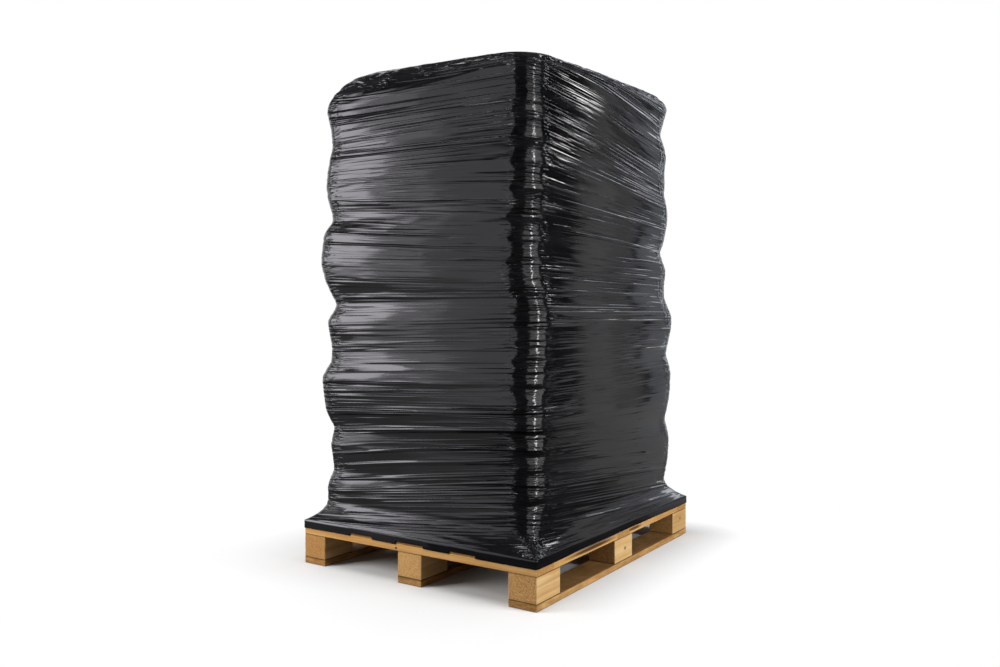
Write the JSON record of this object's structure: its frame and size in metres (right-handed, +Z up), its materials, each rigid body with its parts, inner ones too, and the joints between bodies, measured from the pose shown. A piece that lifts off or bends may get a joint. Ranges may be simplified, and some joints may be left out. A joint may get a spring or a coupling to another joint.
{
  "type": "shrink wrapped pallet load",
  "caption": "Tall pallet load of stacked sacks wrapped in glossy black stretch film, on a four-way wooden block pallet.",
  "frame": {"origin": "centre of the pallet's footprint, on the floor", "axes": "+Z up; X across the pallet's short side, Y along its long side; the front is -Y"},
  "size_m": [1.007, 1.207, 1.8105],
  "materials": {
    "board_wood": "rough sawn softwood",
    "block_wood": "rough sawn softwood",
    "bottom_board_wood": "rough sawn, worn and dirty softwood",
    "sack": "plain woven plastic",
    "sheet": "black plastic sheet",
    "film": "glossy black stretch film"
  },
  "bodies": {
    "root": {"bottom_board_left": "bottom_board_wood", "bottom_board_middle": "bottom_board_wood", "bottom_board_right": "bottom_board_wood", "block_front_left": "block_wood", "block_front_middle": "block_wood", "block_front_right": "block_wood", "block_middle_left": "block_wood", "block_middle_middle": "block_wood", "block_middle_right": "block_wood", "block_back_left": "block_wood", "block_back_middle": "block_wood", "block_back_right": "block_wood", "stringer_front": "board_wood", "stringer_middle": "board_wood", "stringer_back": "board_wood", "side_board_left_front": "board_wood", "side_board_left_back": "board_wood", "side_board_right_front": "board_wood", "side_board_right_back": "board_wood", "deck_board_left": "board_wood", "deck_board_inner_left": "board_wood", "deck_board_middle": "board_wood", "deck_board_inner_right": "board_wood", "deck_board_right": "board_wood", "sack_layer_01": "sack", "sack_layer_02": "sack", "sack_layer_03": "sack", "sack_layer_04": "sack", "sack_layer_05": "sack", "sack_layer_06": "sack", "sack_layer_07": "sack", "sack_layer_08": "sack", "sack_layer_09": "sack", "sack_layer_10": "sack", "sack_layer_11": "sack", "sack_layer_12": "sack", "sack_layer_13": "sack", "sack_layer_14": "sack", "top_sheet": "sheet", "stretch_film": "film"}
  },
  "joints": []
}
